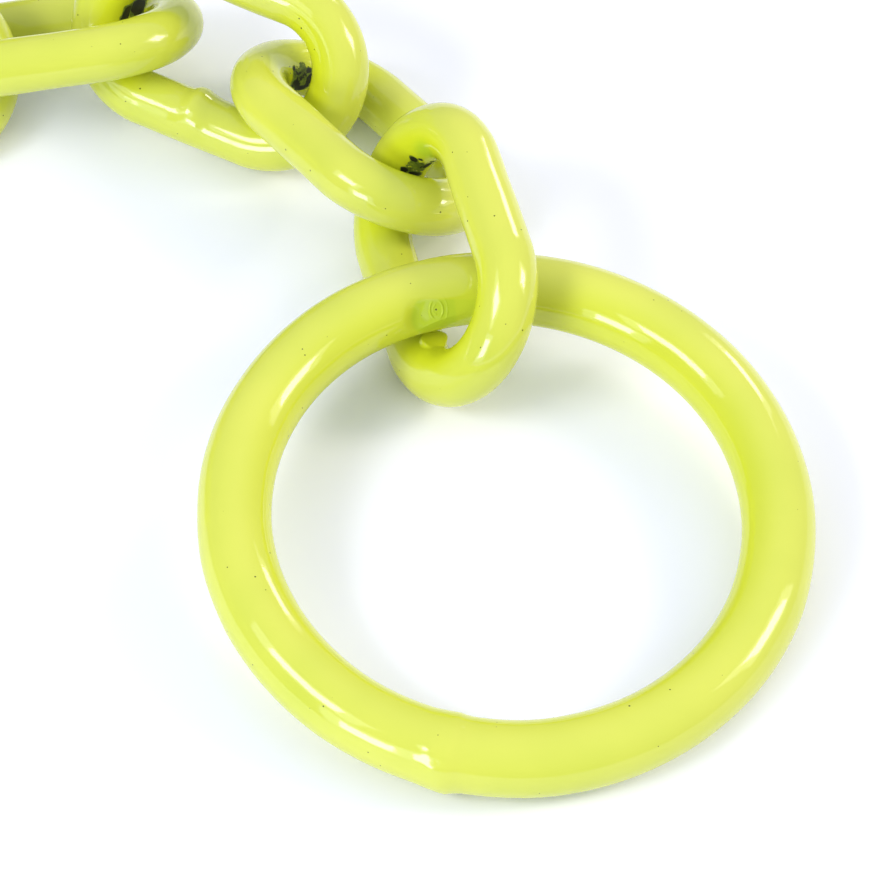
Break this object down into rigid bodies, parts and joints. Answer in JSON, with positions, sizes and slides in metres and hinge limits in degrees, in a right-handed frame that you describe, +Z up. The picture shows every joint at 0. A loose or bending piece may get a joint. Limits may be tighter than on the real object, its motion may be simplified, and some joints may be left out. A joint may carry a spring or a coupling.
{
  "type": "heap of short-link iron chain with a welded end ring",
  "caption": "Length of short-link welded iron chain, enamelled lime yellow, dropped in a loose heap with the large round ring on its end lying in front.",
  "frame": {"origin": "on the floor, under the middle of the heap's bounding box", "axes": "+Z up; +Y away from the viewer, from the end ring towards the pile; +X to the viewer's right, the side the ring lies on"},
  "size_m": [0.3086, 0.342, 0.0632],
  "materials": {
    "ring_enamel": "thick glossy lime-yellow enamel over iron",
    "link_enamel": "thick glossy lime-yellow enamel over iron, chipped to dark iron where links rub"
  },
  "bodies": {
    "root": {"end_ring": "ring_enamel", "link_01": "link_enamel", "link_02": "link_enamel", "link_03": "link_enamel", "link_04": "link_enamel", "link_05": "link_enamel", "link_06": "link_enamel", "link_07": "link_enamel", "link_08": "link_enamel", "link_09": "link_enamel", "link_10": "link_enamel", "link_11": "link_enamel", "link_12": "link_enamel", "link_13": "link_enamel", "link_14": "link_enamel", "link_15": "link_enamel", "link_16": "link_enamel", "link_17": "link_enamel", "link_18": "link_enamel", "link_19": "link_enamel", "link_20": "link_enamel", "link_21": "link_enamel", "link_22": "link_enamel", "link_23": "link_enamel", "link_24": "link_enamel", "link_25": "link_enamel", "link_26": "link_enamel", "link_27": "link_enamel", "link_28": "link_enamel"}
  },
  "joints": []
}
